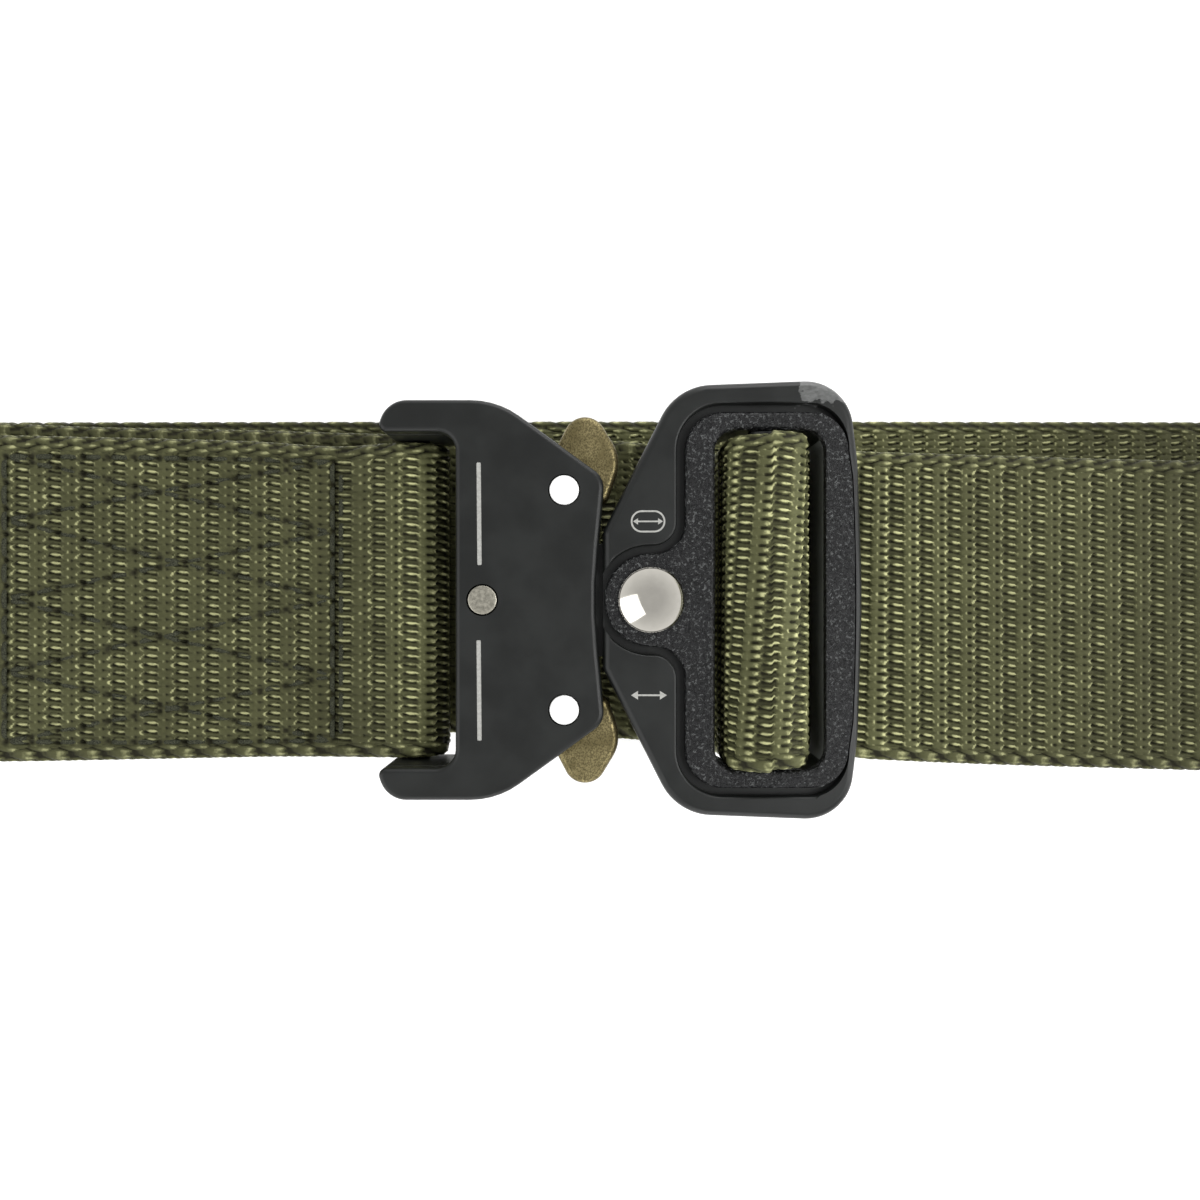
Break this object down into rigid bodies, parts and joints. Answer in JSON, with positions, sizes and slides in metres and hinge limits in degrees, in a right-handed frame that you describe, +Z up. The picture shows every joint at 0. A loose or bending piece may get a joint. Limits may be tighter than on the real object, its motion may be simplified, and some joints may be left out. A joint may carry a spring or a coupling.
{
  "type": "tactical belt",
  "caption": "Closed webbing belt lying flat, with a fastened metal quick-release buckle, side release levers, a sliding adjuster and a free tail behind the buckle.",
  "frame": {"origin": "middle of the belt's footprint on the surface it lies on, straight below the middle of the buckle", "axes": "+X along the belt from the sewn end's side towards the adjuster's side, +Y across the webbing, +Z up from the surface, out of the buckle's face"},
  "size_m": [0.5322, 0.0499, 0.0344],
  "materials": {
    "webbing": "olive green woven webbing",
    "black_plate": "black satin paint",
    "black_textured": "black textured paint",
    "antique_brass": "mottled antique brass",
    "polished_rivet": "polished",
    "brushed_rivet": "brushed"
  },
  "bodies": {
    "belt": {"webbing": "webbing", "housing_base": "black_plate", "housing_top": "black_plate", "pivot_rivet_upper": "polished_rivet", "pivot_rivet_lower": "polished_rivet", "rear_rivet": "brushed_rivet", "frame_body": "black_plate", "frame_ring": "black_textured", "slide_bar": "black_plate", "dome_rivet": "polished_rivet"},
    "lever_upper": {"lever_upper": "antique_brass"},
    "lever_lower": {"lever_lower": "antique_brass"}
  },
  "joints": [
    {"name": "lever_upper_press", "type": "hinge", "parent": "belt", "child": "lever_upper", "pos_m": [-0.0041, 0.0126, 0.0271], "axis": [0, 0, -1], "range_deg": [0, 10], "stiffness_Nm_per_rad": 0.05},
    {"name": "lever_lower_press", "type": "hinge", "parent": "belt", "child": "lever_lower", "pos_m": [-0.0041, -0.0126, 0.0271], "axis": [0, 0, 1], "range_deg": [0, 10], "stiffness_Nm_per_rad": 0.05}
  ]
}
